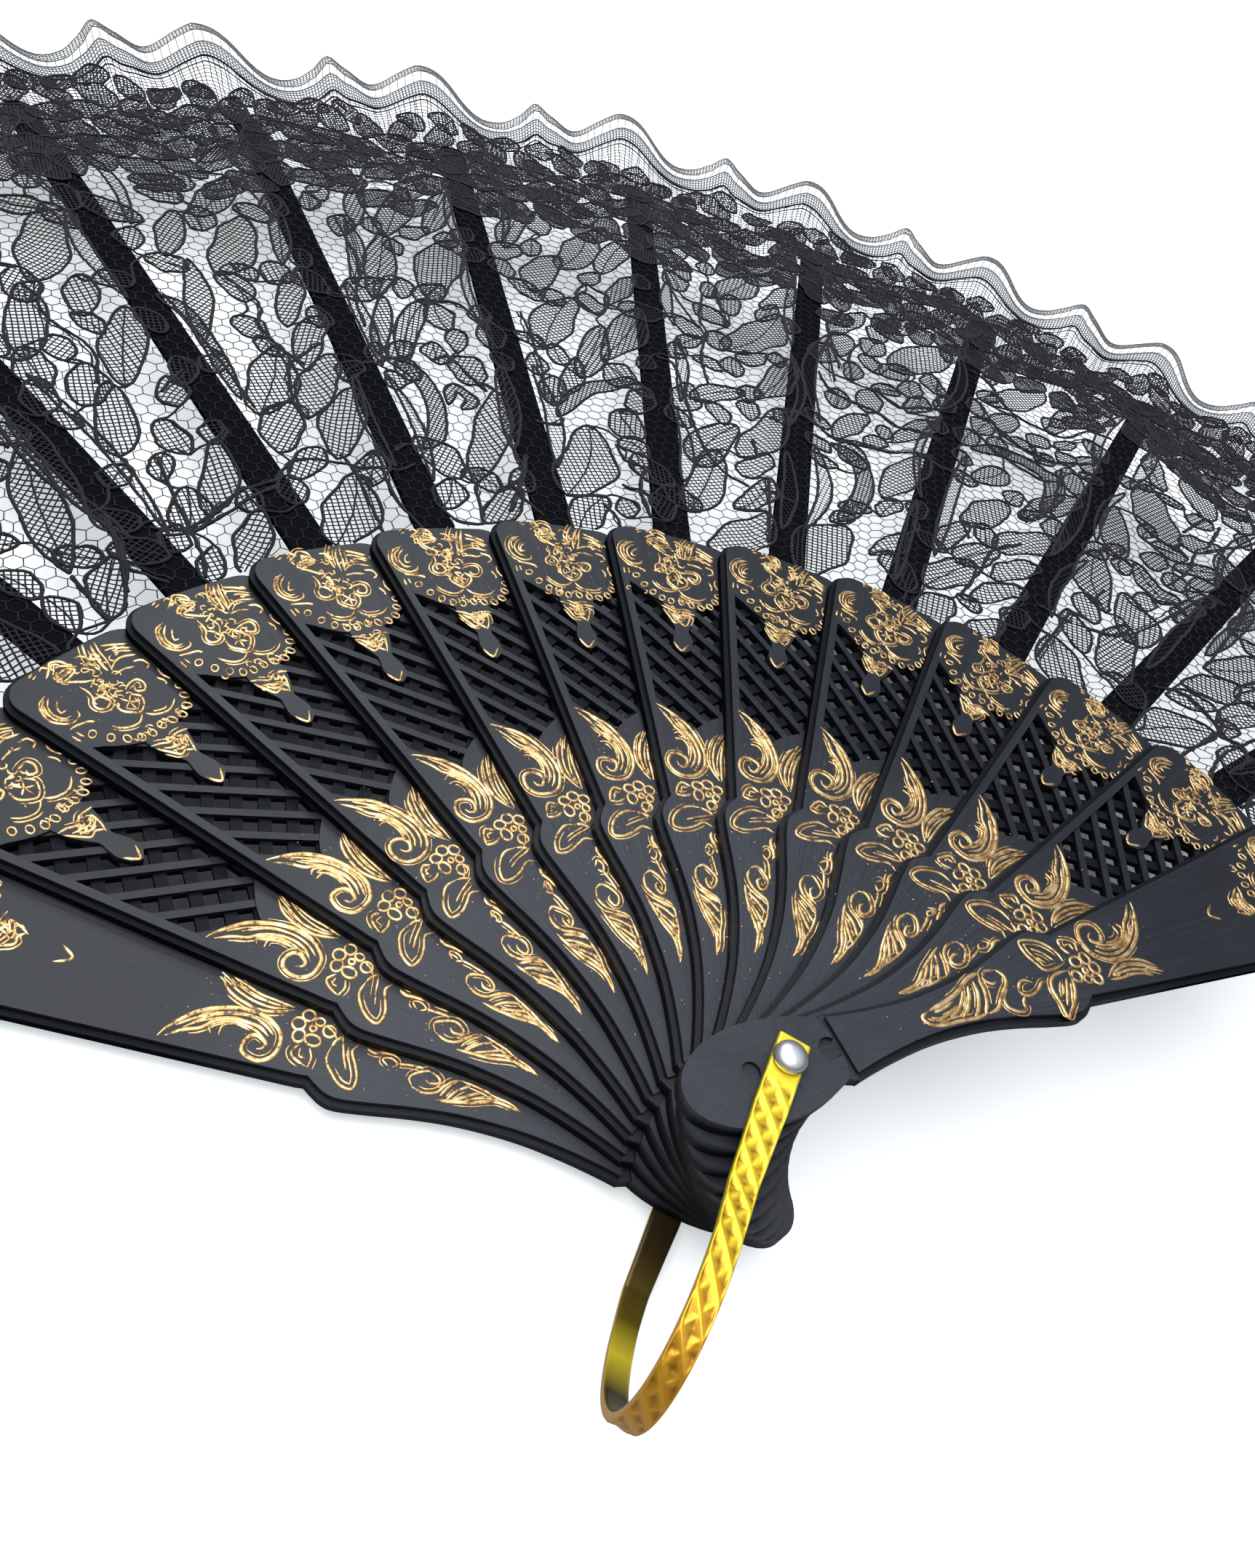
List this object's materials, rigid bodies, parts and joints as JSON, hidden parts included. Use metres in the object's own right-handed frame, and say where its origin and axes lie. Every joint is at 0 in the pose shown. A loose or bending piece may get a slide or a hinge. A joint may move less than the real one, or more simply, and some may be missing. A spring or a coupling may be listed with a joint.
{
  "type": "folding hand fan",
  "caption": "Folding hand fan: flat pierced sticks stacked on a rivet, a black lace leaf with a scalloped edge, and a flat gold bail loop that swings on the rivet.",
  "frame": {"origin": "centre of the rivet's flat back face, on the pivot axis", "axes": "+Z along the rivet out of the front face, +Y along the middle of the open fan, +X to the right across the open fan"},
  "size_m": [0.4548, 0.2752, 0.0325],
  "materials": {
    "black_plastic": "satin moulded black plastic with fine rubbing marks",
    "lace": "black machine lace with a pale scalloped edging",
    "rivet_metal": "satin",
    "pearl": "silvery pearl",
    "gold_band": "bright gold, embossed outside and smooth inside",
    "gold_print": "hot-stamped gold foil"
  },
  "bodies": {
    "rear_guard": {"rear_guard": "black_plastic", "leaf_panel_01": "lace", "pivot_pin": "rivet_metal", "pearl_cap": "pearl"},
    "stick_01": {"stick_01": "black_plastic", "leaf_panel_02": "lace"},
    "stick_02": {"stick_02": "black_plastic", "leaf_panel_03": "lace"},
    "stick_03": {"stick_03": "black_plastic", "leaf_panel_04": "lace"},
    "stick_04": {"stick_04": "black_plastic", "leaf_panel_05": "lace"},
    "stick_05": {"stick_05": "black_plastic", "leaf_panel_06": "lace"},
    "stick_06": {"stick_06": "black_plastic", "leaf_panel_07": "lace"},
    "stick_07": {"stick_07": "black_plastic", "leaf_panel_08": "lace"},
    "stick_08": {"stick_08": "black_plastic", "leaf_panel_09": "lace"},
    "stick_09": {"stick_09": "black_plastic", "leaf_panel_10": "lace"},
    "stick_10": {"stick_10": "black_plastic", "leaf_panel_11": "lace"},
    "stick_11": {"stick_11": "black_plastic", "leaf_panel_12": "lace"},
    "stick_12": {"stick_12": "black_plastic", "leaf_panel_13": "lace"},
    "front_guard": {"front_guard": "black_plastic"},
    "bail_loop": {"bail_loop": "gold_band"}
  },
  "joints": [
    {"name": "fold_01", "type": "hinge", "parent": "rear_guard", "child": "stick_01", "pos_m": [0, 0, 0], "axis": [0, 0, 1], "range_deg": [0, 10.9]},
    {"name": "fold_02", "type": "hinge", "parent": "stick_01", "child": "stick_02", "pos_m": [0, 0, 0], "axis": [0, 0, 1], "range_deg": [0, 10.9]},
    {"name": "fold_03", "type": "hinge", "parent": "stick_02", "child": "stick_03", "pos_m": [0, 0, 0], "axis": [0, 0, 1], "range_deg": [0, 10.9]},
    {"name": "fold_04", "type": "hinge", "parent": "stick_03", "child": "stick_04", "pos_m": [0, 0, 0], "axis": [0, 0, 1], "range_deg": [0, 10.9]},
    {"name": "fold_05", "type": "hinge", "parent": "stick_04", "child": "stick_05", "pos_m": [0, 0, 0], "axis": [0, 0, 1], "range_deg": [0, 10.9]},
    {"name": "fold_06", "type": "hinge", "parent": "stick_05", "child": "stick_06", "pos_m": [0, 0, 0], "axis": [0, 0, 1], "range_deg": [0, 10.9]},
    {"name": "fold_07", "type": "hinge", "parent": "stick_06", "child": "stick_07", "pos_m": [0, 0, 0], "axis": [0, 0, 1], "range_deg": [0, 10.9]},
    {"name": "fold_08", "type": "hinge", "parent": "stick_07", "child": "stick_08", "pos_m": [0, 0, 0], "axis": [0, 0, 1], "range_deg": [0, 10.9]},
    {"name": "fold_09", "type": "hinge", "parent": "stick_08", "child": "stick_09", "pos_m": [0, 0, 0], "axis": [0, 0, 1], "range_deg": [0, 10.9]},
    {"name": "fold_10", "type": "hinge", "parent": "stick_09", "child": "stick_10", "pos_m": [0, 0, 0], "axis": [0, 0, 1], "range_deg": [0, 10.9]},
    {"name": "fold_11", "type": "hinge", "parent": "stick_10", "child": "stick_11", "pos_m": [0, 0, 0], "axis": [0, 0, 1], "range_deg": [0, 10.9]},
    {"name": "fold_12", "type": "hinge", "parent": "stick_11", "child": "stick_12", "pos_m": [0, 0, 0], "axis": [0, 0, 1], "range_deg": [0, 10.9]},
    {"name": "fold_13", "type": "hinge", "parent": "stick_12", "child": "front_guard", "pos_m": [0, 0, 0], "axis": [0, 0, 1], "range_deg": [0, 10.9]},
    {"name": "loop_swing", "type": "hinge", "parent": "rear_guard", "child": "bail_loop", "pos_m": [0, 0, 0], "axis": [0, 0, 1], "range_deg": [-60, 115]}
  ],
  "couplings": [
    {"joint": "fold_02", "follows": "fold_01", "ratio": 1},
    {"joint": "fold_03", "follows": "fold_01", "ratio": 1},
    {"joint": "fold_04", "follows": "fold_01", "ratio": 1},
    {"joint": "fold_05", "follows": "fold_01", "ratio": 1},
    {"joint": "fold_06", "follows": "fold_01", "ratio": 1},
    {"joint": "fold_07", "follows": "fold_01", "ratio": 1},
    {"joint": "fold_08", "follows": "fold_01", "ratio": 1},
    {"joint": "fold_09", "follows": "fold_01", "ratio": 1},
    {"joint": "fold_10", "follows": "fold_01", "ratio": 1},
    {"joint": "fold_11", "follows": "fold_01", "ratio": 1},
    {"joint": "fold_12", "follows": "fold_01", "ratio": 1},
    {"joint": "fold_13", "follows": "fold_01", "ratio": 1}
  ]
}
